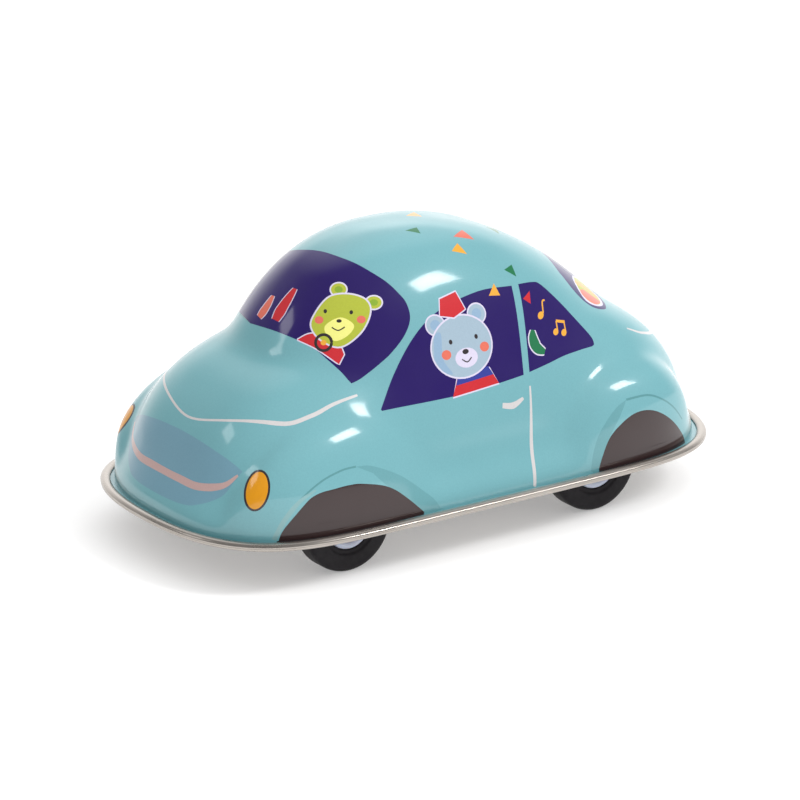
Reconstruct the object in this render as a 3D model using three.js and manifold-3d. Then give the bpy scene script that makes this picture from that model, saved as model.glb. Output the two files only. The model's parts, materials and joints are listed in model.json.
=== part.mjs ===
// Wind-up tin toy car: a pressed body shell on a rolled-edge base plate, four wheels on two axles,
// and a spring motor with a gear train, a governor flywheel and a butterfly key.
// Millimetres, +Z up. The front of the car is -Y and its left side is +X. The wheels stand on z = 0.
import * as THREE from 'three';
import { mergeVertices } from 'three/addons/utils/BufferGeometryUtils.js';
import Module from 'manifold-3d';

const wasm = await Module();
wasm.setup();

// ---------------------------------------------------------------- driving dimensions

// Seam: the rolled bead that joins the shell to the base plate, a superellipse seen from above.
const SEAM = { halfWidth: 28.55, halfLength: 53.95, powerX: 2.45, powerY: 6.2, z: 9.4 };
const BEAD_REACH = 0.8;
const SHEET = 0.3;

// Body shell: rounded bulges and a flared skirt, blended together and trimmed by an upright superellipse wall.
const SHELL_BASE_Z = 9.6;
const SHELL_THICKNESS = 0.5;
const FLANGE_THICKNESS = 0.4;
const FLANGE_REACH = 0.35;
const BLEND_RADIUS = 0.8;
const WALL = { halfWidth: 27.25, halfLength: 52.65, powerX: 2.45, powerY: 6.2, blend: 0.5 };
const CABIN = {
  x: 0, y: 3.7, halfX: 23.9, front: 41.5, rear: 47.7, halfZ: 43.5,
  powers: { plan: 2.3, side: 2.17, rise: 1.5, shoulder: 1.23 }, lean: -0.186,
};
const BONNET_AND_BOOT = {
  x: 0, y: 0, halfX: 24.0, front: 49.7, rear: 50.8, halfZ: 28.2,
  powers: { plan: 4.15, side: 3.3, rise: 2.3, shoulder: 1 }, lean: 0,
};
const FRONT_WINGS = {
  x: 18.55, y: -28.3, halfX: 8.7, front: 20.9, rear: 20.5, halfZ: 18.5,
  powers: { plan: 2.4, side: 2.04, rise: 1.7, shoulder: 1 }, lean: 0,
};
const REAR_WINGS = {
  x: 17.05, y: 30.9, halfX: 10.6, front: 18.8, rear: 15.6, halfZ: 17.5,
  powers: { plan: 2.45, side: 2.26, rise: 2.26, shoulder: 1 }, lean: 0,
};
const SKIRT = {
  x: 0, y: 0, halfX: 27.6, front: 53.1, rear: 53.1, halfZ: 24,
  powers: { plan: 6.2, side: 3.3, rise: 1.3, shoulder: 0.395 }, lean: 0,
};
const BULGES = [CABIN, BONNET_AND_BOOT, FRONT_WINGS, REAR_WINGS, SKIRT];
const SPINE_HALF = 30;
const SIDE_STEPS = 12;
const CAP_STEPS = 12;
const SHELL_ELEVATIONS = [0, 8, 16, 24, 32, 40, 49, 58, 67, 78, 90];

// Base plate
const PAN_Z = 10.8;
const PAN_THICKNESS = 0.4;
const WHEEL_SLOT = { inner: 15.6, outer: 22.5, halfLength: 9.5, corner: 1.2 };
const MOTOR_OPENING = { halfWidth: 8.7, front: -6.6, rear: 33.4, corner: 1.5 };

// Wheels and axles
const TYRE_RADIUS = 8.5;
const HUB_RADIUS = 4.42;
const WHEEL_INNER = 16.6;
const WHEEL_OUTER = 21.6;
const TREAD_SHOULDER = 0.9;
const TYRE_BULGE = 0.3;
const HUB_DISH = { rim: 3.6, floor: 2.8, depth: 0.7, boss: 0.2 };
const WHEEL_STEPS = 24;
const AXLE_RADIUS = 1.0;
const AXLE_HALF = 22.4;
const FRONT_AXLE = { y: -26.4, z: TYRE_RADIUS };
const REAR_AXLE = { y: 25.6, z: TYRE_RADIUS };
const RUNNING_GAP = 0.06;
const SHAFT_STEPS = 16;
const CORNER_STEPS = 4;

// Front axle brackets: a folded angle on each side of the car
const BRACKET = {
  outer: 11.4, inner: 3.2, thickness: 0.8, webZ: 9.8, webThickness: 0.5, front: -30.6, rear: -22.2,
};
const BRACKET_CHEEK = { bottom: 6.4, halfLength: 3.2 };
const BRACKET_RIVET = { x: 6, y: -29.1 };

// Spring motor
const PLATE_INNER = 7;
const PLATE_THICKNESS = 0.8;
const ARBOR_RADIUS = 0.9;
const ARBOR_END = 8.3;
const GEAR_MODULE = 0.6;
const PRESSURE_ANGLE = THREE.MathUtils.degToRad(20);
const BACKLASH = 0.16;
const REAR_PINION = { teeth: 10, shift: 0.45, tip: 3.75, x: [2.4, 4.6] };
const SECOND_WHEEL = { teeth: 30, shift: -0.45, tip: 9.33, x: [3.0, 4.0] };
const SECOND_PINION = { teeth: 10, shift: 0.45, tip: 3.75, x: [0.2, 2.2] };
const GREAT_WHEEL = { teeth: 36, shift: -0.45, tip: 11.13, x: [0.6, 1.8] };
const FLYWHEEL_PINION = { teeth: 8, shift: 0.53, tip: 3.2, x: [2.8, 4.2] };
const REAR_TO_SECOND = THREE.MathUtils.degToRad(123.4);
const SECOND_TO_WINDING = THREE.MathUtils.degToRad(164.5);
const SECOND_TO_FLYWHEEL = THREE.MathUtils.degToRad(52.1);
const FLYWHEEL = { radius: 5.5, x: [-4.0, -1.5] };
const SPRING = { inner: 2.3, outer: 9.3, strip: 0.45, turns: 5, steps: 18, x: [-5.5, -0.5] };
const PILLARS = [[-3.2, 12.9], [-3.2, 31.5], [17.5, 31.8], [30.6, 14.5]];
const FOOT = { top: 12.1, bottom: 11.3, reach: 12.6, halfLength: 2.4, y: [1.6, 28.8] };
const PLATE_OUTLINE = [
  [-5.2, FOOT.bottom], [20.2, FOOT.bottom], [21.4, 4.9], [29.8, 4.9], [31.0, FOOT.bottom],
  [32.6, FOOT.bottom], [32.6, 30.0], [28.4, 33.6], [-5.2, 33.6],
];

// Winding key on the car's right side
const KEY = { stemRadius: 2.0, stemInner: -23.5, stemOuter: -34.5, boreEnd: -31, end: -43.2 };
const KEY_WING = { lobeRadius: 4.6, spread: 5.0, lobeX: -38.6, hole: 1.9, thickness: 1.2 };
const KEY_REST_ANGLE = THREE.MathUtils.degToRad(28);
const KEY_HOLE_RADIUS = 2.7;

// The key widens the car on one side only, so the car stands off-centre in its own box.
const BEAD_EDGE = SEAM.halfWidth + BEAD_REACH + SHEET / 2;
const CAR_OFFSET_X = (-KEY.end - BEAD_EDGE) / 2;

// ---------------------------------------------------------------- materials

function paint(color, roughness, metalness) {
  return new THREE.MeshStandardMaterial({ color, roughness, metalness });
}

const PRINTED_TIN = paint(0x7dbcc6, 0.25, 0.2);
const BARE_TIN = paint(0xc8c0b4, 0.35, 0.9);
const STEEL = paint(0x9a9a98, 0.4, 0.9);
const SPRING_STEEL = paint(0x50545c, 0.35, 0.9);
const BRASS = paint(0xb08d4a, 0.35, 0.9);
const RUBBER = paint(0x232022, 0.7, 0);
const HUB_PLASTIC = paint(0xaab4c8, 0.45, 0);

// ---------------------------------------------------------------- geometry helpers

function vector(x, y, z) {
  return new THREE.Vector3(x, y, z);
}

function signedVolume(geometry) {
  const position = geometry.attributes.position;
  const index = geometry.index;
  const [a, b, c] = [vector(0, 0, 0), vector(0, 0, 0), vector(0, 0, 0)];
  let volume = 0;
  for (let i = 0; i < index.count; i += 3) {
    a.fromBufferAttribute(position, index.getX(i));
    b.fromBufferAttribute(position, index.getX(i + 1));
    c.fromBufferAttribute(position, index.getX(i + 2));
    volume += a.dot(b.clone().cross(c)) / 6;
  }
  return volume;
}

// Position-only indexed copy with shared vertices, no flattened triangles, and its faces pointing out.
function closed(geometry) {
  const bare = new THREE.BufferGeometry();
  bare.setAttribute('position', geometry.attributes.position.clone());
  if (geometry.index) bare.setIndex(geometry.index.clone());
  const merged = mergeVertices(bare, 1e-4);
  const kept = [];
  const index = merged.index;
  for (let i = 0; i < index.count; i += 3) {
    const [a, b, c] = [index.getX(i), index.getX(i + 1), index.getX(i + 2)];
    if (a !== b && b !== c && c !== a) kept.push(a, b, c);
  }
  merged.setIndex(kept);
  if (signedVolume(merged) < 0) merged.setIndex(kept.reverse());
  return merged;
}

function toSolid(geometry) {
  const shape = closed(geometry);
  return new wasm.Manifold(new wasm.Mesh({
    numProp: 3,
    vertProperties: new Float32Array(shape.attributes.position.array),
    triVerts: new Uint32Array(shape.index.array),
  }));
}

function toGeometry(solid) {
  const mesh = solid.getMesh();
  const geometry = new THREE.BufferGeometry();
  geometry.setAttribute('position', new THREE.BufferAttribute(new Float32Array(mesh.vertProperties), 3));
  geometry.setIndex([...mesh.triVerts]);
  return closed(geometry);
}

function cut(geometry, ...tools) {
  return toGeometry(tools.reduce((solid, tool) => solid.subtract(toSolid(tool)), toSolid(geometry)));
}

function join(geometry, ...others) {
  return toGeometry(others.reduce((solid, other) => solid.add(toSolid(other)), toSolid(geometry)));
}

// Turns a profile drawn in (x, y) and raised along z into one drawn in (y, z) and raised along x.
const SIDEWAYS = new THREE.Matrix4().makeBasis(vector(0, 1, 0), vector(0, 0, 1), vector(1, 0, 0));

function plate(shape, from, to) {
  const options = { depth: to - from, bevelEnabled: false, curveSegments: CORNER_STEPS };
  return new THREE.ExtrudeGeometry(shape, options).translate(0, 0, from);
}

function sidePlate(shape, from, to) {
  return plate(shape, from, to).applyMatrix4(SIDEWAYS);
}

// Closed profile of [radius, x] points turned about the X axis.
function turned(profile, steps, phase = 0) {
  const points = [...profile, profile[0]].map(([radius, x]) => new THREE.Vector2(radius, x));
  return closed(new THREE.LatheGeometry(points, steps, phase).rotateZ(-Math.PI / 2));
}

function rod(radius, from, to, steps = SHAFT_STEPS) {
  return new THREE.CylinderGeometry(radius, radius, to - from, steps).rotateZ(-Math.PI / 2)
    .translate((from + to) / 2, 0, 0);
}

function roundBox(x0, x1, y0, y1, corner) {
  const shape = new THREE.Shape();
  shape.moveTo(x0 + corner, y0);
  shape.lineTo(x1 - corner, y0);
  shape.absarc(x1 - corner, y0 + corner, corner, -Math.PI / 2, 0);
  shape.absarc(x1 - corner, y1 - corner, corner, 0, Math.PI / 2);
  shape.absarc(x0 + corner, y1 - corner, corner, Math.PI / 2, Math.PI);
  shape.absarc(x0 + corner, y0 + corner, corner, Math.PI, 1.5 * Math.PI);
  shape.closePath();
  return shape;
}

// ---------------------------------------------------------------- body surface

// Keeps a distance negative at the very centre of its shape.
const NUDGE = 1e-3;
const TINY = 1e-9;

function powerSum(a, b, powerA, powerB) {
  return Math.pow(Math.abs(a), powerA) + Math.pow(Math.abs(b), powerB);
}

function wallDistance(wall, x, y) {
  const sum = powerSum(x / wall.halfWidth, y / wall.halfLength, wall.powerX, wall.powerY);
  const size = Math.max(Math.pow(sum, 2 / (wall.powerX + wall.powerY)), TINY);
  return (Math.hypot(x, y) + NUDGE) * (1 - 1 / size);
}

function bulgeDistance(bulge, x, y, z) {
  const dx = Math.abs(x) - bulge.x;
  const dz = z - SHELL_BASE_Z;
  const dy = y - bulge.y - bulge.lean * dz;
  const halfY = dy < 0 ? bulge.front : bulge.rear;
  const { plan, side, rise, shoulder } = bulge.powers;
  const outline = Math.pow(powerSum(dx / bulge.halfX, dy / halfY, plan * shoulder, plan), 1 / plan);
  const sum = powerSum(outline, dz / bulge.halfZ, side, rise);
  const size = Math.pow(Math.max(sum, TINY), 2 / (side + rise));
  return (Math.hypot(dx, dy, dz) + NUDGE) * (1 - 1 / size);
}

// Near the skin this is the distance outside it.
function bodyDistance(x, y, z) {
  const distances = BULGES.map((bulge) => bulgeDistance(bulge, x, y, z));
  const nearest = Math.min(...distances);
  const crowd = distances.reduce((sum, d) => sum + Math.exp((nearest - d) / BLEND_RADIUS), 0);
  const body = nearest - BLEND_RADIUS * Math.log(crowd);
  const wall = wallDistance(WALL, x, y);
  const farther = Math.max(body, wall);
  const trim = Math.exp((body - farther) / WALL.blend) + Math.exp((wall - farther) / WALL.blend);
  return farther + WALL.blend * Math.log(trim);
}

// Rays fan out from a straight spine along the middle of the car: abreast at the sides, turning at the ends.
function makeStations() {
  const stations = [];
  for (let i = 0; i < SIDE_STEPS; i++) {
    stations.push({ spineY: -SPINE_HALF + (2 * SPINE_HALF * i) / SIDE_STEPS, dx: 1, dy: 0 });
  }
  for (let i = 0; i < CAP_STEPS; i++) {
    const turn = (Math.PI * i) / CAP_STEPS;
    stations.push({ spineY: SPINE_HALF, dx: Math.cos(turn), dy: Math.sin(turn) });
  }
  const half = stations.map(({ spineY, dx, dy }) => ({ spineY: -spineY, dx: -dx, dy: -dy }));
  return [...stations, ...half];
}

const STATIONS = makeStations();

function along(station, reach, z) {
  return vector(station.dx * reach, station.spineY + station.dy * reach, z);
}

function crossing(outside) {
  let [near, far] = [0, 80];
  for (let i = 0; i < 40; i++) {
    const middle = (near + far) / 2;
    if (outside(middle)) far = middle;
    else near = middle;
  }
  return (near + far) / 2;
}

function skinPoint(station, elevation, inset) {
  const [level, climb] = [Math.cos(elevation), Math.sin(elevation)];
  const at = (reach) => along(station, reach * level, SHELL_BASE_Z + reach * climb);
  return at(crossing((reach) => {
    const point = at(reach);
    return bodyDistance(point.x, point.y, point.z) > -inset;
  }));
}

function seamReach(station) {
  return crossing((reach) => {
    const point = along(station, reach, 0);
    return wallDistance(SEAM, point.x, point.y) > 0;
  });
}

function baseReach(station) {
  const point = skinPoint(station, 0, 0);
  return Math.hypot(point.x, point.y - station.spineY);
}

// Skins a list of rings that all run anticlockwise seen from above, each ring with one point per station.
function skin(rings, ringsClose) {
  const count = STATIONS.length;
  const positions = rings.flat().flatMap((point) => [point.x, point.y, point.z]);
  const index = [];
  const bands = ringsClose ? rings.length : rings.length - 1;
  for (let i = 0; i < bands; i++) {
    const below = (i + 1) % rings.length;
    for (let j = 0; j < count; j++) {
      const next = (j + 1) % count;
      const [a, b, c, d] = [i * count + j, i * count + next, below * count + next, below * count + j];
      index.push(a, d, c, a, c, b);
    }
  }
  const geometry = new THREE.BufferGeometry();
  geometry.setAttribute('position', new THREE.Float32BufferAttribute(positions, 3));
  geometry.setIndex(index);
  return closed(geometry);
}

// ---------------------------------------------------------------- body shell and base plate

function bodyShell() {
  const elevations = SHELL_ELEVATIONS.map((angle) => THREE.MathUtils.degToRad(angle));
  const layer = (elevation, inset) => STATIONS.map((station) => skinPoint(station, elevation, inset));
  const flange = (z) => STATIONS.map((station) => along(station, seamReach(station) + FLANGE_REACH, z));
  const foot = layer(0, SHELL_THICKNESS).map((point) => point.setZ(SHELL_BASE_Z - FLANGE_THICKNESS));
  const shell = skin([
    ...elevations.toReversed().map((elevation) => layer(elevation, 0)),
    flange(SHELL_BASE_Z),
    flange(SHELL_BASE_Z - FLANGE_THICKNESS),
    foot,
    ...elevations.slice(1).map((elevation) => layer(elevation, SHELL_THICKNESS)),
  ], false);
  return cut(shell, rod(KEY_HOLE_RADIUS, -35, -15).translate(0, WINDING.y, WINDING.z));
}

// Both faces of a bent sheet that follows a centre line of [reach, z] points.
function sheetProfile(line) {
  const normals = line.map((point, i) => {
    const before = line[Math.max(i - 1, 0)];
    const after = line[Math.min(i + 1, line.length - 1)];
    const length = Math.hypot(after[0] - before[0], after[1] - before[1]);
    return [-(after[1] - before[1]) / length, (after[0] - before[0]) / length];
  });
  const face = (side) => line.map(([reach, z], i) => {
    return [reach + (side * SHEET * normals[i][0]) / 2, z + (side * SHEET * normals[i][1]) / 2];
  });
  return [...face(1), ...face(-1).toReversed()];
}

function beadLine(station) {
  const seam = seamReach(station);
  const base = baseReach(station);
  return [
    [seam - 0.8, SEAM.z + 0.45],
    [seam - 0.3, SEAM.z + 0.6],
    [seam + 0.45, SEAM.z + 0.45],
    [seam + BEAD_REACH, SEAM.z],
    [seam + 0.45, SEAM.z - 0.48],
    [seam - 0.3, SEAM.z - 0.62],
    [base - 1.4, SEAM.z - 0.62],
    [base - 1.9, PAN_Z],
    [base - 3.2, PAN_Z],
  ];
}

function panOutline() {
  const shape = new THREE.Shape();
  STATIONS.forEach((station, i) => {
    const point = along(station, baseReach(station) - 2.3, 0);
    if (i === 0) shape.moveTo(point.x, point.y);
    else shape.lineTo(point.x, point.y);
  });
  shape.closePath();
  return shape;
}

function rivetHole(x, y, from, to) {
  return rod(RIVET.shank + RUNNING_GAP, from, to, RIVET_STEPS).rotateY(-Math.PI / 2).translate(x, y, 0);
}

function basePlate() {
  const profiles = STATIONS.map((station) => sheetProfile(beadLine(station)));
  const rings = profiles[0].map((_, k) => STATIONS.map((station, j) => along(station, ...profiles[j][k])));
  const low = PAN_Z - PAN_THICKNESS / 2;
  const high = PAN_Z + PAN_THICKNESS / 2;
  const slots = [FRONT_AXLE, REAR_AXLE].flatMap((axle) => [1, -1].map((side) => {
    const ends = [side * WHEEL_SLOT.inner, side * WHEEL_SLOT.outer].sort((a, b) => a - b);
    const [y0, y1] = [axle.y - WHEEL_SLOT.halfLength, axle.y + WHEEL_SLOT.halfLength];
    return plate(roundBox(...ends, y0, y1, WHEEL_SLOT.corner), low - 1, high + 1);
  }));
  const { halfWidth, front, rear, corner } = MOTOR_OPENING;
  const opening = plate(roundBox(-halfWidth, halfWidth, front, rear, corner), low - 1, high + 1);
  const holes = RIVET_PLACES.map(([x, y]) => rivetHole(x, y, low - 1, high + 1));
  return cut(join(skin(rings, true), plate(panOutline(), low, high)), ...slots, opening, ...holes);
}

// ---------------------------------------------------------------- rivets

const RIVET_STEPS = 8;
const RIVET = { shank: 0.8, head: 1.4, headHeight: 0.45 };
const FOOT_RIVET_X = 10.9;
const MOTOR_RIVETS = FOOT.y.flatMap((y) => [[FOOT_RIVET_X, y], [-FOOT_RIVET_X, y]]);
const BRACKET_RIVETS = [[BRACKET_RIVET.x, BRACKET_RIVET.y], [-BRACKET_RIVET.x, BRACKET_RIVET.y]];
const RIVET_PLACES = [...MOTOR_RIVETS, ...BRACKET_RIVETS];

// Headed at both ends, and set upright through everything between the two heights.
function rivet(bottom, top) {
  const [low, high] = [bottom - RUNNING_GAP, top + RUNNING_GAP];
  const profile = [
    [0, low - RIVET.headHeight], [RIVET.head * 0.7, low - RIVET.headHeight], [RIVET.head, low],
    [RIVET.shank, low], [RIVET.shank, high],
    [RIVET.head, high], [RIVET.head * 0.7, high + RIVET.headHeight], [0, high + RIVET.headHeight],
  ];
  const points = profile.map(([radius, z]) => new THREE.Vector2(radius, z));
  return closed(new THREE.LatheGeometry(points, RIVET_STEPS).rotateX(Math.PI / 2));
}

// ---------------------------------------------------------------- gears

function involute(angle) {
  return Math.tan(angle) - angle;
}

function pitchRadius(gear) {
  return (GEAR_MODULE * gear.teeth) / 2;
}

// Half the angle that a tooth spans at a radius, never wider than at the base circle.
function toothHalfAngle(gear, radius) {
  const base = pitchRadius(gear) * Math.cos(PRESSURE_ANGLE);
  const slope = Math.acos(Math.min(1, base / radius));
  const atPitch = Math.PI / (2 * gear.teeth) + (2 * gear.shift * Math.tan(PRESSURE_ANGLE)) / gear.teeth;
  const slack = BACKLASH / 4 / pitchRadius(gear);
  return atPitch + involute(PRESSURE_ANGLE) - involute(slope) - slack;
}

// Flanks are bent at mid height on a small gear only, where the curve shows.
const CURVED_BELOW = 20;

// phase is the angle of one tooth's middle, measured from +Y towards +Z.
function gearShape(gear, phase, bore) {
  const root = pitchRadius(gear) + GEAR_MODULE * (gear.shift - 1.25);
  const base = pitchRadius(gear) * Math.cos(PRESSURE_ANGLE);
  const middle = Math.max(base, (root + gear.tip) / 2);
  const radii = gear.teeth < CURVED_BELOW ? [root, middle, gear.tip] : [root, gear.tip];
  const points = [];
  for (let tooth = 0; tooth < gear.teeth; tooth++) {
    const centre = phase + (2 * Math.PI * tooth) / gear.teeth;
    points.push(...radii.map((radius) => [radius, centre - toothHalfAngle(gear, radius)]));
    points.push(...radii.toReversed().map((radius) => [radius, centre + toothHalfAngle(gear, radius)]));
  }
  const shape = new THREE.Shape(points.map(([radius, angle]) => {
    return new THREE.Vector2(radius * Math.cos(angle), radius * Math.sin(angle));
  }));
  shape.holes.push(circlePath(0, 0, bore, SHAFT_STEPS));
  return shape;
}

function circlePath(x, y, radius, steps) {
  const points = [];
  for (let i = 0; i < steps; i++) {
    const angle = (-2 * Math.PI * i) / steps;
    points.push(new THREE.Vector2(x + radius * Math.cos(angle), y + radius * Math.sin(angle)));
  }
  return new THREE.Path(points);
}

// The second gear's phase that sets its gap on the first gear's tooth along the line between them.
function meshedPhase(first, firstPhase, second, direction) {
  const share = (first.teeth * (direction - firstPhase)) / (2 * Math.PI);
  return direction + Math.PI - (2 * Math.PI * (0.5 - share)) / second.teeth;
}

function stepFrom(centre, first, second, direction) {
  const distance = pitchRadius(first) + pitchRadius(second);
  return { y: centre.y + distance * Math.cos(direction), z: centre.z + distance * Math.sin(direction) };
}

const SECOND = stepFrom(REAR_AXLE, REAR_PINION, SECOND_WHEEL, REAR_TO_SECOND);
const WINDING = stepFrom(SECOND, SECOND_PINION, GREAT_WHEEL, SECOND_TO_WINDING);
const GOVERNOR = stepFrom(SECOND, SECOND_WHEEL, FLYWHEEL_PINION, SECOND_TO_FLYWHEEL);
const SECOND_WHEEL_PHASE = meshedPhase(REAR_PINION, 0, SECOND_WHEEL, REAR_TO_SECOND);
const GREAT_WHEEL_PHASE = meshedPhase(SECOND_PINION, 0, GREAT_WHEEL, SECOND_TO_WINDING);
const FLYWHEEL_PHASE = meshedPhase(SECOND_WHEEL, SECOND_WHEEL_PHASE, FLYWHEEL_PINION, SECOND_TO_FLYWHEEL);

function gear(spec, phase, bore = ARBOR_RADIUS + RUNNING_GAP) {
  return sidePlate(gearShape(spec, phase, bore), ...spec.x);
}

const WINDOWS = { count: 4, reach: 6.2, radius: 2.1, steps: 10 };

function greatWheel() {
  const shape = gearShape(GREAT_WHEEL, GREAT_WHEEL_PHASE, ARBOR_RADIUS + RUNNING_GAP);
  const { count, reach, radius, steps } = WINDOWS;
  for (let i = 0; i < count; i++) {
    const angle = (2 * Math.PI * i) / count;
    shape.holes.push(circlePath(reach * Math.cos(angle), reach * Math.sin(angle), radius, steps));
  }
  return sidePlate(shape, ...GREAT_WHEEL.x);
}

// ---------------------------------------------------------------- spring motor

// The strip winds out from the arbor, and its tail reaches towards the first pillar.
function mainspring() {
  const [pillarY, pillarZ] = PILLARS[0];
  const tailAngle = Math.atan2(pillarZ - WINDING.z, pillarY - WINDING.y);
  const steps = SPRING.turns * SPRING.steps;
  const line = [];
  for (let i = 0; i <= steps; i++) {
    const radius = SPRING.inner + ((SPRING.outer - SPRING.inner) * i) / steps;
    const angle = tailAngle - 0.35 - (2 * Math.PI * (steps - i)) / SPRING.steps;
    line.push([radius, angle]);
  }
  line.push([SPRING.outer + 1.1, tailAngle - 0.12], [SPRING.outer + 1.9, tailAngle - 0.03]);
  const face = (side) => line.map(([radius, angle]) => {
    const reach = radius + (side * SPRING.strip) / 2;
    return new THREE.Vector2(reach * Math.cos(angle), reach * Math.sin(angle));
  });
  return sidePlate(new THREE.Shape([...face(1), ...face(-1).reverse()]), ...SPRING.x);
}

// One arm of the spring washer, as [radius, angle] corners.
const CLUTCH_ARM = [[1.7, -0.6], [5.2, -0.2], [5.4, 0.12], [1.9, 0.3]];
const CLUTCH = { arms: 3, lift: 0.2, thickness: 0.35 };

// A three-armed spring washer that clicks round on the great wheel's face.
function clutchSpring() {
  const points = [];
  for (let arm = 0; arm < CLUTCH.arms; arm++) {
    const middle = (2 * Math.PI * arm) / CLUTCH.arms;
    CLUTCH_ARM.forEach(([radius, angle]) => {
      points.push(new THREE.Vector2(radius * Math.cos(middle + angle), radius * Math.sin(middle + angle)));
    });
  }
  const shape = new THREE.Shape(points);
  shape.holes.push(circlePath(0, 0, ARBOR_RADIUS + RUNNING_GAP, SHAFT_STEPS));
  const face = GREAT_WHEEL.x[1] + CLUTCH.lift;
  return sidePlate(shape, face, face + CLUTCH.thickness);
}

function framePlate(side) {
  const shape = new THREE.Shape(PLATE_OUTLINE.map(([y, z]) => new THREE.Vector2(y, z)));
  const bores = [
    [REAR_AXLE, AXLE_RADIUS], [SECOND, ARBOR_RADIUS], [WINDING, ARBOR_RADIUS], [GOVERNOR, ARBOR_RADIUS],
  ];
  bores.forEach(([centre, radius]) => {
    shape.holes.push(circlePath(centre.y, centre.z, radius + RUNNING_GAP, SHAFT_STEPS));
  });
  PILLARS.forEach(([y, z]) => shape.holes.push(circlePath(y, z, PILLAR.tenon + RUNNING_GAP, PILLAR_STEPS)));
  const faces = [side * PLATE_INNER, side * (PLATE_INNER + PLATE_THICKNESS)].sort((a, b) => a - b);
  const feet = FOOT.y.map((y) => {
    const ends = [side * (PLATE_INNER + PLATE_THICKNESS / 2), side * FOOT.reach].sort((a, b) => a - b);
    const foot = roundBox(...ends, y - FOOT.halfLength, y + FOOT.halfLength, 0.3);
    const hole = rivetHole(side * FOOT_RIVET_X, y, FOOT.bottom - 1, FOOT.top + 1);
    return cut(plate(foot, FOOT.bottom, FOOT.top), hole);
  });
  return join(sidePlate(shape, ...faces), ...feet);
}

const PILLAR_STEPS = 8;
const PILLAR = { radius: 1.1, tenon: 0.7, head: 1.15, headHeight: 0.45 };

function framePillar() {
  const inner = PLATE_INNER - RUNNING_GAP / 2;
  const outer = PLATE_INNER + PLATE_THICKNESS + RUNNING_GAP / 2;
  const end = outer + PILLAR.headHeight;
  const half = [
    [PILLAR.radius, inner], [PILLAR.tenon, inner], [PILLAR.tenon, outer], [PILLAR.head, outer],
    [PILLAR.head * 0.7, end], [0, end],
  ];
  const mirrored = half.toReversed().map(([radius, x]) => [radius, -x]);
  return turned([...mirrored, ...half], PILLAR_STEPS);
}

// ---------------------------------------------------------------- axles, wheels, bracket and key

function tyre(side) {
  const facetRadius = TYRE_RADIUS / Math.cos(Math.PI / WHEEL_STEPS);
  const bore = HUB_RADIUS + RUNNING_GAP;
  const wall = facetRadius - TREAD_SHOULDER;
  const profile = [
    [bore, WHEEL_INNER + TYRE_BULGE], [wall, WHEEL_INNER], [facetRadius, WHEEL_INNER + TREAD_SHOULDER],
    [facetRadius, WHEEL_OUTER - TREAD_SHOULDER], [wall, WHEEL_OUTER], [bore, WHEEL_OUTER - TYRE_BULGE],
  ];
  return turned(profile.map(([radius, x]) => [radius, side * x]), WHEEL_STEPS, Math.PI / WHEEL_STEPS);
}

function hub(side) {
  const bore = AXLE_RADIUS + RUNNING_GAP;
  const profile = [
    [bore, WHEEL_INNER + 0.1], [HUB_RADIUS, WHEEL_INNER + 0.5], [HUB_RADIUS, WHEEL_OUTER - 0.5],
    [HUB_DISH.rim, WHEEL_OUTER - 0.1], [HUB_DISH.floor, WHEEL_OUTER - HUB_DISH.depth],
    [bore, WHEEL_OUTER - HUB_DISH.boss],
  ];
  return turned(profile.map(([radius, x]) => [radius, side * x]), WHEEL_STEPS, Math.PI / WHEEL_STEPS);
}

function frontBracket(side) {
  const { outer, inner, thickness, webZ, webThickness, front, rear } = BRACKET;
  const { bottom, halfLength } = BRACKET_CHEEK;
  const ends = [side * inner, side * outer].sort((a, b) => a - b);
  const web = plate(roundBox(...ends, front, rear, 0.5), webZ, webZ + webThickness);
  const top = webZ + webThickness / 2;
  const shape = roundBox(FRONT_AXLE.y - halfLength, FRONT_AXLE.y + halfLength, bottom, top, 0.2);
  shape.holes.push(circlePath(FRONT_AXLE.y, FRONT_AXLE.z, AXLE_RADIUS + RUNNING_GAP, SHAFT_STEPS));
  const faces = [side * (outer - thickness), side * outer].sort((a, b) => a - b);
  const hole = rivetHole(side * BRACKET_RIVET.x, BRACKET_RIVET.y, webZ - 1, webZ + webThickness + 1);
  return cut(join(web, sidePlate(shape, ...faces)), hole);
}

function windingKey() {
  const stem = rod(KEY.stemRadius, KEY.stemOuter, KEY.stemInner, 16);
  const wing = new THREE.Shape();
  wing.moveTo(KEY.stemOuter + 1.5, 1.6);
  wing.lineTo(KEY.stemOuter - 0.5, KEY_WING.spread);
  wing.absarc(KEY_WING.lobeX, KEY_WING.spread, KEY_WING.lobeRadius, 0.3 * Math.PI, Math.PI);
  wing.lineTo(KEY_WING.lobeX - 1.5, 0);
  wing.absarc(KEY_WING.lobeX, -KEY_WING.spread, KEY_WING.lobeRadius, Math.PI, 1.7 * Math.PI);
  wing.lineTo(KEY.stemOuter - 0.5, -KEY_WING.spread);
  wing.lineTo(KEY.stemOuter + 1.5, -1.6);
  wing.closePath();
  [1, -1].forEach((side) => {
    wing.holes.push(circlePath(KEY_WING.lobeX, side * KEY_WING.spread, KEY_WING.hole, 12));
  });
  const wings = plate(wing, -KEY_WING.thickness / 2, KEY_WING.thickness / 2);
  const bore = rod(ARBOR_RADIUS + RUNNING_GAP, KEY.boreEnd, KEY.stemInner + 1);
  return cut(join(stem, wings), bore).rotateX(KEY_REST_ANGLE);
}

// ---------------------------------------------------------------- assembly

function mesh(name, geometry, material) {
  const piece = new THREE.Mesh(closed(geometry), material);
  piece.name = name;
  return piece;
}

function atShaft(centre, ...pieces) {
  const group = new THREE.Group();
  group.position.set(0, centre.y, centre.z);
  group.add(...pieces);
  return group;
}

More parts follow.
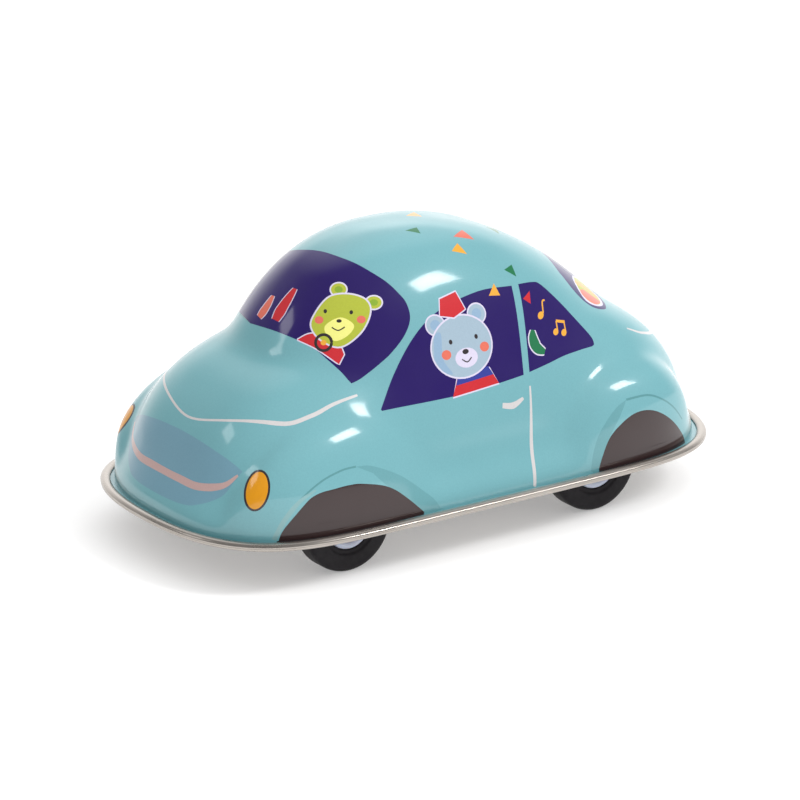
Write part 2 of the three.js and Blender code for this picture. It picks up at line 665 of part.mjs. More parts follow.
function wheelSet(end, centre, ...extras) {
  const sides = [['left', 1], ['right', -1]];
  const wheels = sides.flatMap(([name, side]) => [
    mesh(`${end}_${name}_tyre`, tyre(side), RUBBER),
    mesh(`${end}_${name}_hub`, hub(side), HUB_PLASTIC),
  ]);
  const axle = mesh(`${end}_axle`, rod(AXLE_RADIUS, -AXLE_HALF, AXLE_HALF), STEEL);
  return atShaft(centre, axle, ...wheels, ...extras);
}

function rivetAt(name, [x, y], bottom, top) {
  const piece = mesh(name, rivet(bottom, top), STEEL);
  piece.position.set(x, y, 0);
  return piece;
}

const car = new THREE.Group();
car.name = 'wind_up_tin_car';
car.position.x = CAR_OFFSET_X;

car.add(mesh('body_shell', bodyShell(), PRINTED_TIN));
car.add(mesh('base_plate', basePlate(), BARE_TIN));
car.add(mesh('front_bracket_left', frontBracket(1), BARE_TIN));
car.add(mesh('front_bracket_right', frontBracket(-1), BARE_TIN));
car.add(mesh('motor_frame_left', framePlate(1), BARE_TIN));
car.add(mesh('motor_frame_right', framePlate(-1), BARE_TIN));
PILLARS.forEach(([y, z], i) => {
  car.add(atShaft({ y, z }, mesh(`frame_pillar_${i + 1}`, framePillar(), STEEL)));
});
MOTOR_RIVETS.forEach((place, i) => {
  car.add(rivetAt(`motor_rivet_${i + 1}`, place, PAN_Z - PAN_THICKNESS / 2, FOOT.top));
});
BRACKET_RIVETS.forEach((place, i) => {
  car.add(rivetAt(`bracket_rivet_${i + 1}`, place, BRACKET.webZ, PAN_Z + PAN_THICKNESS / 2));
});
car.add(atShaft(WINDING, mesh('mainspring', mainspring(), SPRING_STEEL)));

const rearPinion = mesh('rear_pinion', gear(REAR_PINION, 0, AXLE_RADIUS + RUNNING_GAP), BRASS);
car.add(wheelSet('rear', REAR_AXLE, rearPinion));
car.add(wheelSet('front', FRONT_AXLE));

car.add(atShaft(
  SECOND,
  mesh('second_arbor', rod(ARBOR_RADIUS, -ARBOR_END, ARBOR_END), STEEL),
  mesh('second_pinion', gear(SECOND_PINION, 0), BRASS),
  mesh('second_wheel', gear(SECOND_WHEEL, SECOND_WHEEL_PHASE), BRASS),
));
car.add(atShaft(
  WINDING,
  mesh('great_wheel', greatWheel(), BRASS),
  mesh('winding_arbor', rod(ARBOR_RADIUS, KEY.boreEnd + 0.5, ARBOR_END), STEEL),
  mesh('clutch_spring', clutchSpring(), SPRING_STEEL),
  mesh('winding_key', windingKey(), STEEL),
));
car.add(atShaft(
  GOVERNOR,
  mesh('flywheel_arbor', rod(ARBOR_RADIUS, -ARBOR_END, ARBOR_END), STEEL),
  mesh('flywheel_pinion', gear(FLYWHEEL_PINION, FLYWHEEL_PHASE), BRASS),
  mesh('flywheel', turned([
    [ARBOR_RADIUS + RUNNING_GAP, FLYWHEEL.x[0]], [FLYWHEEL.radius, FLYWHEEL.x[0]],
    [FLYWHEEL.radius, FLYWHEEL.x[1]], [ARBOR_RADIUS + RUNNING_GAP, FLYWHEEL.x[1]],
  ], SHAFT_STEPS), BRASS),
));

export default car;
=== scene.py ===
"""Wind-up tin toy car: its printed shell, rolled seam, wheels, key and clockwork in their finished looks.

Shapes are worked out in millimetres in the car's own axes (front -Y, left side +X, up +Z, centre plane x = 0)
and moved into the frame, in metres, when each mesh is made.
"""
import json
import math

import bmesh
import bpy
import numpy as np
from mathutils import Matrix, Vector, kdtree
from mathutils.geometry import delaunay_2d_cdt


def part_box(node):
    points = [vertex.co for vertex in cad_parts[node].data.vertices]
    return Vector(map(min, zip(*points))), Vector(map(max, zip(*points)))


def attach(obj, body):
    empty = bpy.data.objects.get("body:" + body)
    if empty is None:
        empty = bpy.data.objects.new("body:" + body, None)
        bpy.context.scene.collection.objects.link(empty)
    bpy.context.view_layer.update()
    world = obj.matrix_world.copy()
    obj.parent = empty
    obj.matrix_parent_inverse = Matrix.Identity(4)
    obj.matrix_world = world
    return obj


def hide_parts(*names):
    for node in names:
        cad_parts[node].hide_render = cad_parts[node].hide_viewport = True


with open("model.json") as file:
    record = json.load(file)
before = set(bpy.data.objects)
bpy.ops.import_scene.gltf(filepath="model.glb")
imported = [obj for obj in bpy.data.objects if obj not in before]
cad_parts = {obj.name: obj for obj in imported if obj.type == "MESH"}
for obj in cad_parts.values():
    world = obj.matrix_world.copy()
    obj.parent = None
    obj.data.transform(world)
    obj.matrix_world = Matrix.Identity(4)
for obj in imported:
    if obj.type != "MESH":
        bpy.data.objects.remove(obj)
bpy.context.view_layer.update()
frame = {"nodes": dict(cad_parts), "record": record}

MM = 0.001


def middle(node):
    low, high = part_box(node)
    return np.array((low + high) / 2) / MM


CAR_X = middle("base_plate")[0]
FRONT_AXLE = middle("front_axle")[1:]
REAR_AXLE = middle("rear_axle")[1:]
WINDING = middle("great_wheel")[1:]


def to_frame(points):
    return (np.asarray(points, float) + (CAR_X, 0, 0)) * MM


# ---------------------------------------------------------------- camera

AZIMUTH = math.radians(55.37)
ELEVATION = math.radians(19.59)
CAMERA_DISTANCE = 1000
VIEW_WIDTH = 139.35
AIM_HEIGHT = 20
STEP_RIGHT = -1.18
STEP_UP = -0.61
SENSOR = 36


def add_camera():
    flat = math.cos(ELEVATION)
    back = np.array([math.sin(AZIMUTH) * flat, -math.cos(AZIMUTH) * flat, math.sin(ELEVATION)])
    right = np.array([math.cos(AZIMUTH), math.sin(AZIMUTH), 0])
    up = np.cross(back, right)
    place = CAMERA_DISTANCE * back + STEP_RIGHT * right + STEP_UP * up + (0, 0, AIM_HEIGHT)
    lens = bpy.data.cameras.new("camera")
    lens.sensor_width = SENSOR
    lens.lens = SENSOR * CAMERA_DISTANCE / VIEW_WIDTH
    lens.clip_start = 0.01
    camera = bpy.data.objects.new("camera", lens)
    bpy.context.scene.collection.objects.link(camera)
    turn = Matrix([right, up, back]).transposed().to_4x4()
    camera.matrix_world = Matrix.Translation(to_frame(place)) @ turn
    bpy.context.scene.camera = camera


add_camera()

# ---------------------------------------------------------------- body surface

FLOOR = 9.6
TINY = 1e-9
NUDGE = 1e-3
BLEND = 0.8
WALL_BLEND = 0.5
WALL = {"half": (27.25, 52.65), "powers": (2.45, 6.2)}
SEAM = {"half": (28.55, 53.95), "powers": (2.45, 6.2)}
BULGES = [
    # cabin
    {"x": 0, "y": 3.7, "half_x": 23.9, "front": 41.5, "rear": 47.7, "half_z": 43.5,
     "powers": (2.3, 2.17, 1.5), "shoulder": 1.23, "lean": -0.186},
    # bonnet, waist and boot
    {"x": 0, "y": 0, "half_x": 24.0, "front": 49.7, "rear": 50.8, "half_z": 28.2,
     "powers": (4.15, 3.3, 2.3), "shoulder": 1, "lean": 0},
    # front wings
    {"x": 18.55, "y": -28.3, "half_x": 8.7, "front": 20.9, "rear": 20.5, "half_z": 18.5,
     "powers": (2.4, 2.04, 1.7), "shoulder": 1, "lean": 0},
    # rear wings
    {"x": 17.05, "y": 30.9, "half_x": 10.6, "front": 18.8, "rear": 15.6, "half_z": 17.5,
     "powers": (2.45, 2.26, 2.26), "shoulder": 1, "lean": 0},
    # flared foot
    {"x": 0, "y": 0, "half_x": 27.6, "front": 53.1, "rear": 53.1, "half_z": 24,
     "powers": (6.2, 3.3, 1.3), "shoulder": 0.395, "lean": 0},
]


def power_sum(a, b, power_a, power_b):
    return np.abs(a) ** power_a + np.abs(b) ** power_b


def wall_distance(wall, x, y):
    (half_x, half_y), (power_x, power_y) = wall["half"], wall["powers"]
    total = power_sum(x / half_x, y / half_y, power_x, power_y)
    size = np.maximum(total ** (2 / (power_x + power_y)), TINY)
    return (np.hypot(x, y) + NUDGE) * (1 - 1 / size)


def bulge_distance(bulge, x, y, z):
    dx = np.abs(x) - bulge["x"]
    dz = z - FLOOR
    dy = y - bulge["y"] - bulge["lean"] * dz
    half_y = np.where(dy < 0, bulge["front"], bulge["rear"])
    plan, side, rise = bulge["powers"]
    outline = power_sum(dx / bulge["half_x"], dy / half_y, plan * bulge["shoulder"], plan) ** (1 / plan)
    total = np.maximum(power_sum(outline, dz / bulge["half_z"], side, rise), TINY)
    size = total ** (2 / (side + rise))
    return (np.sqrt(dx * dx + dy * dy + dz * dz) + NUDGE) * (1 - 1 / size)


def body_distance(spots):
    """Near the skin, how far each spot is outside it."""
    x, y, z = spots.T
    distances = np.array([bulge_distance(bulge, x, y, z) for bulge in BULGES])
    nearest = distances.min(0)
    body = nearest - BLEND * np.log(np.exp((nearest - distances) / BLEND).sum(0))
    wall = wall_distance(WALL, x, y)
    farther = np.maximum(body, wall)
    trim = np.exp((body - farther) / WALL_BLEND) + np.exp((wall - farther) / WALL_BLEND)
    return farther + WALL_BLEND * np.log(trim)


def unit(vectors):
    return vectors / np.linalg.norm(vectors, axis=1)[:, None]


def skin_normals(spots, step=0.02):
    slopes = [body_distance(spots + step * axis) - body_distance(spots - step * axis) for axis in np.eye(3)]
    return unit(np.array(slopes).T)


def crossing(outside, count, reach=80.0):
    near, far = np.zeros(count), np.full(count, reach)
    for _ in range(32):
        half = (near + far) / 2
        out = outside(half)
        near, far = np.where(out, near, half), np.where(out, half, far)
    return ((near + far) / 2)[:, None]


def skin(origins, directions, inset=0.0):
    """Where rays from inside the body leave it, or come within the inset of its skin."""
    count = len(origins)
    return origins + directions * crossing(
        lambda reach: body_distance(origins + directions * reach[:, None]) > -inset, count)


def facing(points, place, direction, inset=0.0):
    points = np.asarray(points, float)
    origins = np.array([place(a, b) for a, b in points], float)
    return skin(origins, np.tile(np.array(direction, float), (len(points), 1)), inset)


def on_side(points, side=1, inset=0.0):
    """(y, z) points laid on the left (1) or right (-1) flank."""
    return facing(points, lambda y, z: (0, y, z), (side, 0, 0), inset)


def on_front(points):
    return facing(points, lambda x, z: (x, -5, z), (0, -1, 0))


QUARTER_CENTRE = (2.0, -7.3, 33.5)
QUARTER_AZIMUTH = math.radians(52)
QUARTER_TILT = math.radians(18)


def on_quarter(points):
    """(across, up) points laid on the windscreen's left half from a viewpoint off the front left corner."""
    flat = math.cos(QUARTER_TILT)
    east, south = math.sin(QUARTER_AZIMUTH), math.cos(QUARTER_AZIMUTH)
    ahead = np.array([east * flat, -south * flat, math.sin(QUARTER_TILT)])
    across = np.array([south, east, 0])
    climb = np.cross(ahead, across)
    return facing(points, lambda a, b: QUARTER_CENTRE + a * across + b * climb, ahead)


def on_rear(points):
    return facing(points, lambda x, z: (x, 10, z), (0, 1, 0))


def on_top(points):
    return facing(points, lambda x, y: (x, y, FLOOR), (0, 0, 1))


# ---------------------------------------------------------------- print plane
# The sheet before pressing: a stadium whose rim is the foot of the shell and whose spine is the roof's middle.

SPINE = 30
SHEET_RADIUS = 60


def to_print(spots):
    x, y, z = spots.T
    spine_y = np.clip(y, -SPINE, SPINE)
    dy = y - spine_y
    level = np.maximum(np.hypot(x, dy), TINY)
    share = 1 - np.arctan2(z - FLOOR, level) / (math.pi / 2)
    return np.array([x, dy]).T * (SHEET_RADIUS * share / level)[:, None] + np.array([0 * y, spine_y]).T


def from_print(flat, inset=0.0):
    spine_y = np.clip(flat[:, 1], -SPINE, SPINE)
    away = flat - np.array([0 * spine_y, spine_y]).T
    reach = np.hypot(*away.T)
    climb = (1 - reach / SHEET_RADIUS) * math.pi / 2
    level = away / np.maximum(reach, TINY)[:, None] * np.cos(climb)[:, None]
    origins = np.array([0 * spine_y, spine_y, 0 * spine_y + FLOOR]).T
    return skin(origins, np.array([*level.T, np.sin(climb)]).T, inset)


def stadium(side_steps, cap_steps):
    """Stations round the spine, anticlockwise from above: [spine y, outward x, outward y]."""
    sides = [(-SPINE + 2 * SPINE * i / side_steps, 1, 0) for i in range(side_steps)]
    turns = [math.pi * i / cap_steps for i in range(cap_steps)]
    caps = [(SPINE, math.cos(turn), math.sin(turn)) for turn in turns]
    return np.array(sides + caps + [(-a, -b, -c) for a, b, c in sides + caps])


STATIONS = stadium(44, 88)


def along(reach, z):
    """One point per station, at a distance from the spine and a height."""
    spine_y, dx, dy = STATIONS.T
    return np.array([dx * reach, spine_y + dy * reach, z + 0 * dx]).T


COUNT = len(STATIONS)
SEAM_REACH = crossing(lambda reach: wall_distance(SEAM, *along(reach, 0)[:, :2].T) > 0, COUNT)[:, 0]


def print_ring(share):
    """The rim of the sheet, shrunk towards its spine."""
    reach = SHEET_RADIUS * share
    return np.array([[b * reach, a + c * reach] for a, b, c in STATIONS])


RIM = print_ring(1)
RIM_SPOTS = from_print(RIM)
BASE_REACH = np.hypot(RIM_SPOTS[:, 0], RIM_SPOTS[:, 1] - STATIONS[:, 0])


# ---------------------------------------------------------------- outlines

def curve(*points, steps=7):
    """A smooth open line through the points."""
    knots = np.array([points[0], *points, points[-1]], float)
    t = (np.arange(steps) / steps)[:, None]
    parts = []
    for a, b, c, d in zip(knots, knots[1:], knots[2:], knots[3:]):
        parts.append(b + t / 2 * (c - a + t * (2 * a - 5 * b + 4 * c - d + t * (3 * (b - c) + d - a))))
    return np.vstack([*parts, knots[-1:]])


def loop(*points, steps=6):
    """A smooth closed line through the points."""
    count = len(points)
    wide = curve(*[points[i % count] for i in range(-2, count + 2)], steps=steps)
    return wide[2 * steps:(count + 2) * steps]


def outline(*runs):
    """A closed outline of runs that each start where the one before ended."""
    return np.vstack([np.asarray(run, float) for run in runs])


def dense(points, step=0.9, closed=True):
    ends = np.roll(points, -1, axis=0) if closed else points[1:]
    parts = []
    for a, b in zip(points, ends):
        count = max(1, math.ceil(np.linalg.norm(b - a) / step))
        parts.append(a + (b - a) * (np.arange(count) / count)[:, None])
    return np.vstack(parts if closed else [*parts, points[-1:]])


def oval(centre, radii, tilt=0.0, steps=28):
    turn = np.arange(steps) * 2 * math.pi / steps
    a, b = radii[0] * np.cos(turn), radii[1] * np.sin(turn)
    lean = math.radians(tilt)
    return np.array([centre[0] + a * math.cos(lean) - b * math.sin(lean),
                     centre[1] + a * math.sin(lean) + b * math.cos(lean)]).T


def grown(points, margin):
    """A closed outline moved outwards by a margin."""
    ahead = np.roll(points, -1, axis=0) - np.roll(points, 1, axis=0)
    out = unit(np.array([ahead[:, 1], -ahead[:, 0]]).T + TINY)
    x, y = points.T
    turning = (x * np.roll(y, -1) - np.roll(x, -1) * y).sum()
    return points + out * (margin if turning > 0 else -margin)


def brush(spots, *widths):
    """The outline of a stroke along a line on the skin, with widths set along its length."""
    across = unit(np.cross(skin_normals(spots), np.gradient(spots, axis=0)))
    places = np.linspace(0, 1, len(spots))
    half = np.interp(places, np.linspace(0, 1, len(widths)), widths)[:, None] / 2
    return np.vstack([spots + across * half, (spots - across * half)[::-1]])


# ---------------------------------------------------------------- the print

PRINT = []


def ink(colour, spots):
    PRINT.append((colour, to_print(spots)))


def print_flank(side):
    def patch(colour, points):
        ink(colour, on_side(dense(points), side))

    def stroke(colour, points, *widths):
        ink(colour, brush(on_side(points, side), *widths))

    # side windows
    patch("purple", outline(
        curve((-19.8, 27.7), (-18.2, 29.6), (-13.9, 34.9), (-10.9, 37.9), (-7.7, 40.1), (-3.8, 41.7),
              (0.3, 42.5), (5.4, 42.9), (11.5, 42.3)),
        curve((9.7, 28.2), (3.7, 27.8), (-4.4, 27.4), (-19.6, 27.5))))
    patch("purple", outline(
        curve((13.1, 42.2), (16.4, 41.8), (18.3, 41.0), (21.4, 37.7), (24.1, 34.3), (26.1, 31.3), (26.3, 30.0),
              (25.7, 29.7)),
        curve((23.5, 29.7), (19.2, 29.5), (15.6, 29.0), (11.0, 28.4))))
    # wheel arches, each with a shade towards the door and a thin line round its crown
    patch("shade", outline(
        curve((-27.9, 20.5), (-25.4, 20.2), (-22.6, 19.1), (-19.6, 17.5), (-17.3, 15.9), (-14.8, 13.8),
              (-12.4, 11.5), (-10.7, 8.2)),
        curve((-13.7, 8.6), (-18.3, 13.3), (-22.1, 16.1), (-24.7, 18.8))))
    patch("shade", outline(
        curve((28.6, 21.1), (26.4, 20.2), (24.1, 18.4), (22.0, 15.8), (20.6, 12.4), (19.9, 8.7)),
        curve((21.5, 8.8), (22.8, 12.6), (24.7, 16.0), (26.6, 18.4))))
    stroke("shade_line", curve((-42.7, 12.2), (-39.4, 16.5), (-35.2, 19.2), (-30.9, 20.4), (-27.9, 20.5)),
           0.3, 0.35)
    stroke("shade_line", curve((28.6, 21.1), (33.3, 21.0), (36.8, 19.4), (39.6, 17.1), (41.9, 14.4)), 0.4, 0.25)
    stroke("pale", curve((-43.4, 10.1), (-41.7, 13.6), (-39.2, 16.5), (-36.1, 18.1)), 0.8, 0.9, 0.3)
    patch("arch", outline(
        curve((-42.9, 9.0), (-41.9, 11.9), (-38.2, 16.1), (-35.8, 17.4), (-32.7, 17.7), (-29.9, 17.8),
              (-27.0, 17.5), (-22.1, 16.0), (-18.3, 13.3), (-13.5, 8.6))))
    patch("arch", outline(
        curve((21.3, 8.8), (22.6, 12.2), (24.4, 15.4), (27.2, 17.5), (30.1, 18.6), (33.1, 18.5), (36.1, 17.2),
              (39.3, 14.7), (42.3, 11.2), (43.3, 8.8))))
    # door line and handle
    door = curve((10.6, 26.2), (9.6, 19.0), (8.3, 10.4), (8.1, 8.9))
    stroke("cream", dense(door, closed=False), 0.35, 0.7, 0.6)
    stroke("cream", curve((4.3, 24.1), (6.5, 23.7), (8.8, 24.5)), 0.9, 1.15, 0.5)
    # confetti
    patch("green", outline([(13.3, 45.1), (11.1, 44.8), (13.3, 43.3)]))
    patch("yellow", outline([(7.8, 43.4), (6.0, 41.8), (8.4, 41.4)]))
    patch("red", outline([(15.2, 40.7), (13.2, 39.9), (14.6, 38.8)]))
    # tunes
    patch("yellow", oval((16.2, 36.6), (0.75, 0.55), 20))
    stroke("yellow", curve((16.9, 36.8), (17.4, 38.5), (18.1, 38.6)), 0.3)
    for head in ((18.7, 33.4), (20.5, 32.9)):
        patch("yellow", oval(head, (0.65, 0.5), 20))
        stroke("yellow", curve((head[0] + 0.5, head[1] + 0.1), (head[0] + 0.7, head[1] + 1.6)), 0.28)
    stroke("yellow", curve((19.4, 35.0), (21.4, 34.4)), 0.5)
    # leaf
    stem = curve((13.6, 34.8), (13.3, 33.3), (13.7, 31.9), (15.2, 30.9))
    stroke("pale_edge", stem, 1.2, 2.3, 2.7, 2.4, 1.4)
    stroke("green", stem, 0.7, 1.8, 2.2, 1.9, 0.9)
    print_passenger(patch, stroke)


def print_passenger(patch, stroke):
    """A plain bear cub in a red cap and coat."""
    head = oval((-1.8, 35.0), (6.1, 4.9), 4, 40)
    coat = outline([(-5.4, 27.3), (-3.9, 30.1), (2.9, 30.6), (4.3, 27.9)])
    cap = outline([(-4.9, 40.5), (-4.1, 43.0), (-0.6, 43.6), (0.4, 40.7), (-2.2, 39.8)])
    for ear in ((-6.2, 39.2), (2.5, 39.6)):
        patch("pale_edge", oval(ear, (2.0, 1.75)))
        patch("sky", oval(ear, (1.75, 1.5)))
        patch("sky_deep", oval(ear, (1.0, 0.85)))
    patch("pale_edge", grown(coat, 0.25))
    patch("red", coat)
    patch("navy", outline([(-4.4, 29.0), (-3.7, 30.5), (2.7, 31.0), (3.5, 29.5)]))
    patch("pale_edge", grown(head, 0.28))
    patch("sky", head)
    patch("sky_deep", outline(curve((-7.7, 33.9), (-6.9, 37.4), (-5.5, 37.7), (-6.0, 33.7), (-4.6, 31.0),
                                    (-6.4, 31.7), (-7.7, 33.9))))
    patch("pale_edge", grown(cap, 0.25))
    patch("red", cap)
    patch("pale_edge", oval((-1.3, 33.1), (2.3, 1.6)))
    patch("dark", oval((-1.3, 34.1), (0.65, 0.42)))
    stroke("dark", curve((-2.3, 33.0), (-1.3, 32.4), (-0.3, 33.0)), 0.22)
    for eye in (-3.9, 1.4):
        patch("dark", oval((eye, 36.1), (0.35, 0.4)))
    for cheek in (-5.2, 2.7):
        patch("coral", oval((cheek, 34.2), (0.95, 0.8)))


def print_front():
    def patch(colour, points):
        ink(colour, on_front(dense(points)))

    near = on_quarter(dense(outline(
        curve((-17.3, 13.8), (-13.3, 14.3), (-9.4, 14.1), (-5.5, 13.0), (-2.9, 12.0), (-0.3, 10.6), (2.1, 9.1),
              (4.0, 7.4), (5.5, 5.6), (6.2, 3.0), (5.4, 0.2), (3.4, -2.7), (1.3, -4.8), (-1.6, -7.2),
              (-3.2, -8.1)),
        curve((-3.8, -7.5), (-5.0, -6.2), (-7.2, -4.3), (-10.0, -2.1), (-13.0, -0.8), (-16.8, 0.5),
              (-21.3, 1.6))),
        closed=False))
    near = near[near[:, 0] > -7.6]
    pillar = near[(near[:, 0] > 15.3) | ((near[:, 0] > 9) & (near[:, 1] < -24))]
    far = pillar[::-1] * (-1, 1, 1)
    corner = on_top(curve((-15.2, -11.2), (-14.3, -13.1), (-12.9, -15.2), (-11.3, -17.0), (-9.6, -18.4)))
    ink("purple", np.vstack([near, far, corner]))
    print_driver()
    # bonnet line
    lid = [(19.0, -23.3), (18.9, -28.0), (18.9, -32.5), (17.7, -37.0), (13.6, -41.3), (8.0, -43.9)]
    ink("cream", brush(on_top(dense(curve(*[(-x, y) for x, y in lid], (0, -45.2), *lid[::-1]), 0.8, False)),
                       0.3, 0.6, 0.8, 0.5, 0.42, 0.4, 0.42, 0.5, 0.8, 0.75, 0.4))
    # grille
    top = [(16.7, 20.6), (13.0, 22.2), (7.9, 23.1), (2.3, 23.4)]
    foot = [(15.9, 18.5), (14.6, 16.1), (11.1, 14.1), (6.6, 13.2)]
    patch("lens", outline(curve(*[(-x, z) for x, z in top], *top[::-1]),
                          curve(top[0], *foot, *[(-x, z) for x, z in foot[::-1]], (-16.7, 20.6))))
    glint = [(16.2, 19.9), (14.2, 17.8), (9.4, 16.6), (4.1, 16.6)]
    ink("blush", brush(on_front(dense(curve(*[(-x, z) for x, z in glint], *glint[::-1]), 0.8, False)),
                       0.4, 1.1, 1.3, 1.2, 1.3, 1.3, 0.4))
    # headlights
    for side in (1, -1):
        lamp("amber", on_front([(21.2 * side, 18.6)])[0], 1.95, 3.25)


def lamp(colour, centre, half_width, half_height):
    """An upright oval with a dark rim, laid on the skin around a point."""
    normal = skin_normals(centre[None])[0]
    across = np.cross((0, 0, 1), normal)
    across /= np.linalg.norm(across)
    climb = np.cross(normal, across)
    for name, margin in (("dark", 0.4), (colour, 0)):
        flat = oval((0, 0), (half_width + margin, half_height + margin), 0, 40)
        ink(name, centre + flat[:, :1] * across + flat[:, 1:] * climb)


def print_driver():
    """A plain yellow-green bear at a steering wheel, beside two skittles."""
    def patch(colour, points):
        ink(colour, on_quarter(dense(points)))

    def stroke(colour, points, *widths):
        ink(colour, brush(on_quarter(points), *widths))

    for line, colour, width in ((curve((-17.4, 6.4), (-18.6, 4.3), (-19.7, 2.7)), "coral", 2.0),
                                (curve((-13.5, 7.7), (-15.4, 4.7), (-16.7, 2.3)), "red", 2.6)):
        stroke("pale_edge", line, 0.35 * width + 0.4, 0.8 * width + 0.4, width + 0.4, 0.7 * width + 0.4)
        stroke(colour, line, 0.35 * width, 0.8 * width, width, 0.7 * width)
    head = loop((-10.2, 1.2), (-9.8, 3.3), (-7.5, 6.3), (-4.2, 6.9), (-1.3, 6.0), (-0.5, 3.9), (-1.9, 0.6),
                (-5.2, -1.9), (-8.4, -0.9))
    shirt = outline(curve((-12.6, -0.9), (-10.0, 0.2), (-6.0, -1.0), (-4.6, -3.2)),
                    curve((-5.4, -4.9), (-9.2, -2.4), (-12.6, -0.9)))
    patch("pale_edge", grown(shirt, 0.2))
    patch("red", shirt)
    for ear in ((-5.9, 7.7), (0.1, 5.6)):
        patch("pale_edge", oval(ear, (1.55, 1.3)))
        patch("lime", oval(ear, (1.3, 1.05)))
        patch("lime_deep", oval(ear, (0.7, 0.55)))
    patch("pale_edge", grown(head, 0.28))
    patch("lime", head)
    patch("lime_pale", loop((-7.9, 1.6), (-5.4, 3.0), (-3.1, 1.8), (-3.9, 0.1), (-6.0, -1.0), (-7.6, 0.0)))
    for eye in ((-8.0, 4.0), (-3.6, 3.9)):
        patch("dark", oval(eye, (0.3, 0.36)))
    stroke("dark", curve((-6.8, 1.3), (-5.7, 0.8), (-4.6, 1.4)), 0.22)
    for cheek in ((-9.0, 2.5), (-1.9, 2.7)):
        patch("coral", oval(cheek, (0.75, 0.65)))
    patch("dark", oval((-5.6, 2.4), (0.45, 0.3)))
    rim = oval((-8.1, -1.3), (1.35, 1.35))
    stroke("dark", np.vstack([rim, rim[:1]]), 0.5)
    patch("yellow", oval((-8.1, -1.3), (0.5, 0.45)))


def print_roof_and_rear():
    def patch(colour, points):
        ink(colour, on_top(dense(points)))

    for colour, points in (
        ("green", [(5.4, -4.1), (5.1, -1.5), (6.9, -1.9)]), ("coral", [(8.4, 3.9), (6.7, 6.9), (9.0, 7.9)]),
        ("yellow", [(10.9, 1.8), (9.7, 3.8), (11.5, 4.6)]), ("yellow", [(-0.4, 0.1), (-2.2, 3.0), (0.9, 2.6)]),
        ("coral", [(-7.0, -5.0), (-8.6, -2.6), (-5.9, -2.6)]),
        ("green", [(-11.0, 4.0), (-9.4, 6.3), (-12.0, 6.8)]),
        ("red", [(-4.2, 9.6), (-2.2, 11.6), (-5.0, 12.2)]), ("green", [(3.6, 14.0), (5.9, 15.4), (3.4, 16.6)]),
    ):
        patch(colour, np.array(points))
    # rear window with a striped ball and a striped parcel behind the glass
    half = [(9.2, 24.8), (10.9, 25.4), (12.4, 26.6), (13.3, 28.4), (13.7, 30.8), (13.1, 33.2), (11.2, 34.4)]
    patch("purple", outline(curve(*[(-x, y) for x, y in half[::-1]], (0, 24.3), *half),
                            curve((11.2, 34.4), (0, 35.4), (-11.2, 34.4))))
    patch("pale_edge", loop((12.8, 28.7), (10.3, 28.3), (8.1, 29.7), (7.4, 31.9), (9.3, 34.0), (12.0, 33.4),
                            (13.1, 31.2)))
    patch("lime", loop((12.4, 29.0), (10.4, 28.7), (8.4, 29.8), (7.8, 31.8), (9.5, 33.6), (11.8, 33.0),
                       (12.8, 31.1)))
    patch("coral", loop((12.4, 29.0), (11.5, 28.8), (10.6, 30.5), (11.1, 33.1), (11.9, 32.8), (12.8, 31.1)))
    patch("yellow", loop((10.5, 28.7), (9.4, 29.2), (9.0, 31.2), (9.6, 33.5), (10.5, 33.3), (10.0, 31.1)))
    patch("pale_edge", outline([(-11.0, 27.2), (-2.6, 27.2), (-2.6, 33.2), (-11.0, 32.8)]))
    patch("red", outline([(-10.6, 27.6), (-3.0, 27.6), (-3.0, 32.8), (-10.6, 32.4)]))
    for x in (-9.6, -4.6):
        patch("yellow", outline([(x, 27.6), (x + 0.8, 27.6), (x + 0.8, 32.7), (x, 32.6)]))
    # boot line
    lid = [(16.4, 35.4), (16.0, 39.0), (13.6, 42.8), (8.0, 45.6)]
    line = curve(*lid, (0, 46.6), *[(-x, y) for x, y in lid[::-1]])
    ink("cream", brush(on_top(dense(line, 0.8, False)), 0.3, 0.7, 0.8, 0.5, 0.8, 0.7, 0.3))
    for side in (1, -1):
        lamp("red", on_rear([(14.5 * side, 17.2)])[0], 1.5, 2.3)
    bumper = outline(curve((-10.5, 18.6), (0, 20.4), (10.5, 18.6)), curve((10.5, 18.6), (8.0, 14.8), (0, 13.9),
                                                                   (-8.0, 14.8), (-10.5, 18.6)))
    ink("lens", on_rear(dense(bumper)))
    ink("blush", brush(on_rear(dense(curve((-9.8, 18.2), (0, 16.2), (9.8, 18.2)), 0.8, False)), 0.3, 1.2, 0.3))


# ---------------------------------------------------------------- meshes

KEY_HOLE = {"radius": 2.7, "steps": 32}


def covers(shape, spots):
    """Which spots lie inside a closed outline."""
    inside = np.zeros(len(spots), bool)
    near = np.all((spots > shape.min(0)) & (spots < shape.max(0)), axis=1)
    x, y = spots[near].T[:, :, None]
    (ax, ay), (bx, by) = shape.T, np.roll(shape, -1, axis=0).T
    steep = (ay > y) != (by > y)
    with np.errstate(divide="ignore", invalid="ignore"):
        hits = steep & (x < (bx - ax) * (y - ay) / (by - ay) + ax)
    inside[near] = hits.sum(1) % 2 == 1
    return inside


def lattice(low, high, spacing):
    rows = np.arange(low[1], high[1], spacing * math.sqrt(3) / 2)
    columns = np.arange(low[0], high[0], spacing)
    return np.array([(x + (spacing / 2 if i % 2 else 0), y) for i, y in enumerate(rows) for x in columns])


